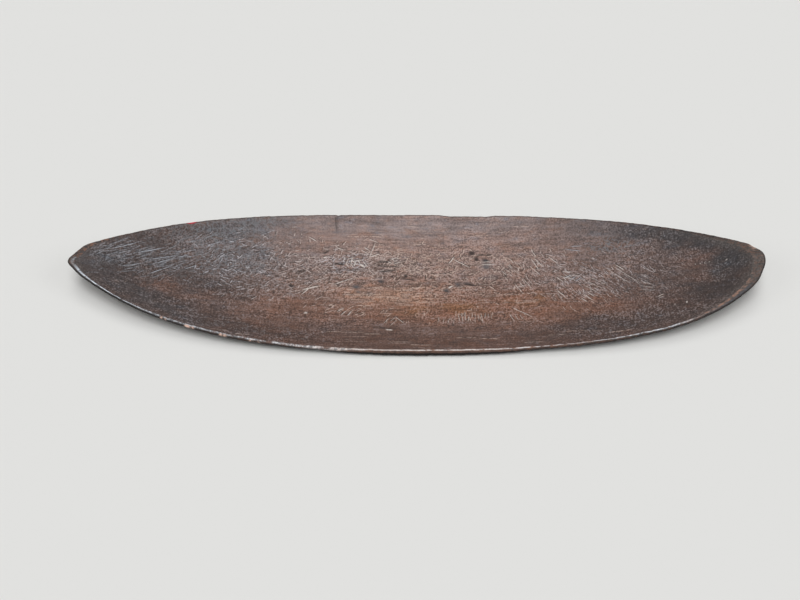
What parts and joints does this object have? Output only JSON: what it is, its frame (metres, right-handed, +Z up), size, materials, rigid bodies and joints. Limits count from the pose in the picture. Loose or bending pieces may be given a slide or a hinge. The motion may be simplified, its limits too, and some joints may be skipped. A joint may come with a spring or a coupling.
{
  "type": "shallow tray",
  "caption": "Long leaf-shaped shallow serving tray carved from solid dark hardwood, with a thin rounded rim that rises to a narrow end and a broad snub end, and a planed flat base.",
  "frame": {"origin": "on the surface that the tray rests on, under the middle of its length and beam", "axes": "+X along the tray from its narrow end to its broad end, +Y across it, +Z up"},
  "size_m": [1.08, 0.336, 0.0715],
  "materials": {
    "patinated_hardwood": "dark brown hardwood with a handled, knife-scratched patina, satin"
  },
  "bodies": {
    "root": {"tray_body": "patinated_hardwood"}
  },
  "joints": []
}
